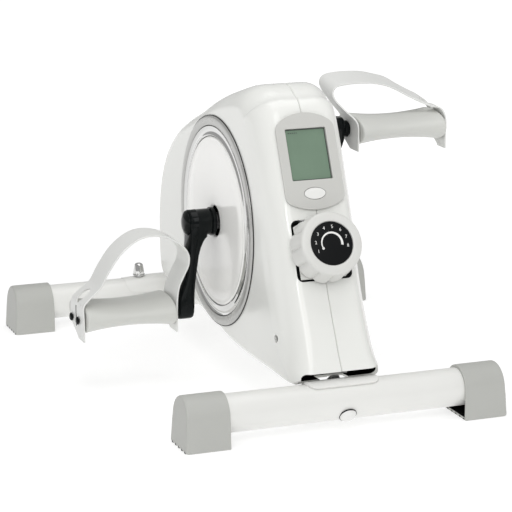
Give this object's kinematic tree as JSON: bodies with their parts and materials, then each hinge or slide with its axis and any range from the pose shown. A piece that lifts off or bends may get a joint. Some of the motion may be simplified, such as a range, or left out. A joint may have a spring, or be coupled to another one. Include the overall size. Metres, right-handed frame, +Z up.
{
  "type": "pedal exerciser",
  "caption": "Low stand-alone pedal exerciser: strapped pedals on cranks drive a magnetically braked flywheel in a tall white shell with a display console and tension knob.",
  "frame": {"origin": "middle of the footprint, on the floor the feet stand on", "axes": "X along the crank axle, with +X to the right of a person facing the console; -Y towards that person; +Z up"},
  "size_m": [0.425, 0.5, 0.3148],
  "materials": {
    "black_plastic": "glossy black",
    "cast_iron": "machined grey iron",
    "white_plastic": "glossy white ABS",
    "circuit": "green solder mask",
    "grey_plastic": "fine-textured light warm grey",
    "steel": "zinc plated",
    "belt_rubber": "ribbed black rubber",
    "white_paint": "gloss white powder coat",
    "lcd": "grey-green display window",
    "black_paint": "glossy black coat on steel",
    "strap": "soft light grey plastic",
    "chrome": "bright plated",
    "light_plastic": "satin light grey"
  },
  "bodies": {
    "base": {"battery_pack": "black_plastic", "brake_cable": "black_plastic", "console_circuit_board": "circuit", "console_housing": "grey_plastic", "drive_belt": "belt_rubber", "flywheel_left_bearing": "steel", "flywheel_right_bearing": "steel", "front_bolt_nut": "steel", "front_carriage_bolt": "steel", "front_left_foot_cap": "grey_plastic", "front_right_foot_cap": "grey_plastic", "front_saddle": "white_paint", "front_stabilizer_tube": "white_paint", "knob_tray": "black_plastic", "lcd_screen": "lcd", "left_crank_bearing": "steel", "left_shell": "white_plastic", "left_shell_screw": "steel", "left_side_cover": "white_plastic", "left_trim_ring": "chrome", "main_frame": "white_paint", "rear_left_carriage_bolt": "steel", "rear_left_dome_nut": "chrome", "rear_left_foot_cap": "grey_plastic", "rear_right_carriage_bolt": "steel", "rear_right_dome_nut": "chrome", "rear_right_foot_cap": "grey_plastic", "rear_saddle": "white_paint", "rear_stabilizer_tube": "white_paint", "return_spring": "steel", "right_crank_bearing": "steel", "right_shell": "white_plastic", "right_shell_screw": "steel", "right_side_cover": "white_plastic", "right_trim_ring": "chrome", "speed_sensor": "black_plastic"},
    "crank_set": {"crank_axle": "steel", "drive_pulley": "black_plastic", "left_crank_arm": "black_paint", "right_crank_arm": "black_paint", "left_crank_cap": "black_plastic", "right_crank_cap": "black_plastic", "left_pedal_spindle": "steel", "right_pedal_spindle": "steel"},
    "left_pedal_unit": {"left_pedal": "grey_plastic", "left_foot_strap": "strap", "left_strap_stud_front": "black_plastic", "left_strap_stud_rear": "black_plastic"},
    "right_pedal_unit": {"right_pedal": "grey_plastic", "right_foot_strap": "strap", "right_strap_stud_front": "black_plastic", "right_strap_stud_rear": "black_plastic"},
    "flywheel_unit": {"flywheel": "cast_iron", "flywheel_axle": "steel"},
    "brake_unit": {"magnet_bracket": "steel", "brake_magnet": "cast_iron"},
    "knob_unit": {"tension_knob": "light_plastic", "knob_dial": "black_plastic"},
    "button_unit": {"console_button": "white_plastic"}
  },
  "joints": [
    {"name": "crank_spin", "type": "hinge", "parent": "base", "child": "crank_set", "pos_m": [0, 0, 0.162], "axis": [1, 0, 0], "continuous": true},
    {"name": "left_pedal_spin", "type": "hinge", "parent": "crank_set", "child": "left_pedal_unit", "pos_m": [-0.1025, 0, 0.0745], "axis": [1, 0, 0], "continuous": true},
    {"name": "right_pedal_spin", "type": "hinge", "parent": "crank_set", "child": "right_pedal_unit", "pos_m": [0.1025, 0, 0.2495], "axis": [1, 0, 0], "continuous": true},
    {"name": "flywheel_spin", "type": "hinge", "parent": "base", "child": "flywheel_unit", "pos_m": [0, 0.1, 0.145], "axis": [1, 0, 0], "continuous": true},
    {"name": "knob_turn", "type": "hinge", "parent": "base", "child": "knob_unit", "pos_m": [0, -0.17461, 0.16769], "axis": [0, -0.907, 0.421], "range_deg": [-135, 135]},
    {"name": "magnet_swing", "type": "hinge", "parent": "base", "child": "brake_unit", "pos_m": [-0.02, 0.052, 0.2065], "axis": [1, 0, 0], "range_deg": [-2.7, 2.7]},
    {"name": "button_press", "type": "slide", "parent": "base", "child": "button_unit", "axis": [0, 0.907, -0.421], "range_m": [0, 0.0015], "stiffness_N_per_m": 300}
  ],
  "couplings": [
    {"joint": "flywheel_spin", "follows": "crank_spin", "ratio": 3.75},
    {"joint": "magnet_swing", "follows": "knob_turn", "ratio": 0.02}
  ]
}
